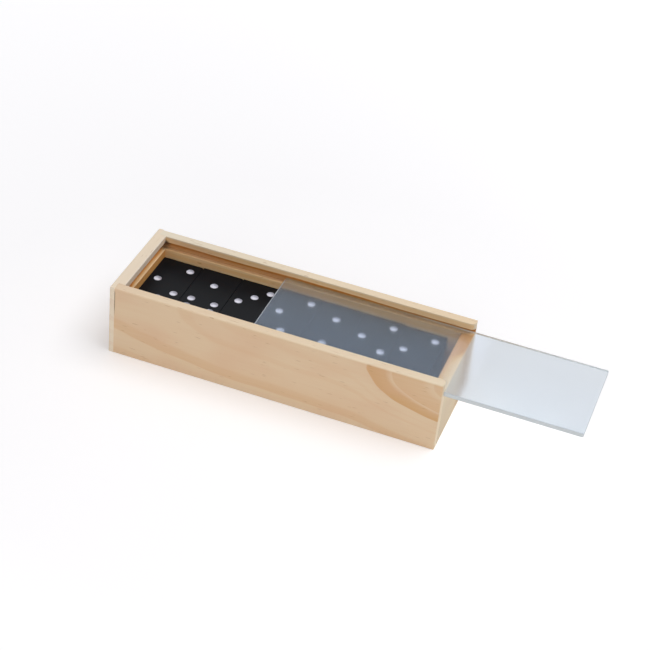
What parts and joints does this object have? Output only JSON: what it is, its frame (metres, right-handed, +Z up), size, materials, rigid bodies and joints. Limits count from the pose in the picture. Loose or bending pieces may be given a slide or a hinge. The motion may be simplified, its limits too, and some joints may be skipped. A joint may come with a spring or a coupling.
{
  "type": "domino storage box",
  "caption": "Pine storage box with a clear lid that slides in a groove, packed with rows of black domino tiles.",
  "frame": {"origin": "centre of the box's underside, which is what it stands on", "axes": "+X along the box towards its open end, the way the lid is drawn out; +Y from the front board to the back board; +Z up"},
  "size_m": [0.2078, 0.05, 0.0342],
  "materials": {
    "pine": "bare sanded pine, unvarnished",
    "plywood": "bare thin plywood",
    "clear_acrylic": "clear sheet with polished faces and sawn edges",
    "tile_black": "satin black with white paint in the pips"
  },
  "bodies": {
    "box": {"front_board": "pine", "back_board": "pine", "closed_end_board": "pine", "open_end_board": "pine", "floor_panel": "plywood", "tile_0_0": "tile_black", "tile_0_1": "tile_black", "tile_0_2": "tile_black", "tile_0_3": "tile_black", "tile_0_4": "tile_black", "tile_0_5": "tile_black", "tile_0_6": "tile_black", "tile_1_1": "tile_black", "tile_1_2": "tile_black", "tile_1_3": "tile_black", "tile_1_4": "tile_black", "tile_1_5": "tile_black", "tile_1_6": "tile_black", "tile_2_2": "tile_black", "tile_2_3": "tile_black", "tile_2_4": "tile_black", "tile_2_5": "tile_black", "tile_2_6": "tile_black", "tile_3_3": "tile_black", "tile_3_4": "tile_black", "tile_3_5": "tile_black", "tile_3_6": "tile_black", "tile_4_4": "tile_black", "tile_4_5": "tile_black", "tile_4_6": "tile_black", "tile_5_5": "tile_black", "tile_5_6": "tile_black", "tile_6_6": "tile_black"},
    "lid": {"lid": "clear_acrylic"}
  },
  "joints": [
    {"name": "lid_slide", "type": "slide", "parent": "box", "child": "lid", "axis": [1, 0, 0], "range_m": [-0.0588, 0.0867]}
  ]
}
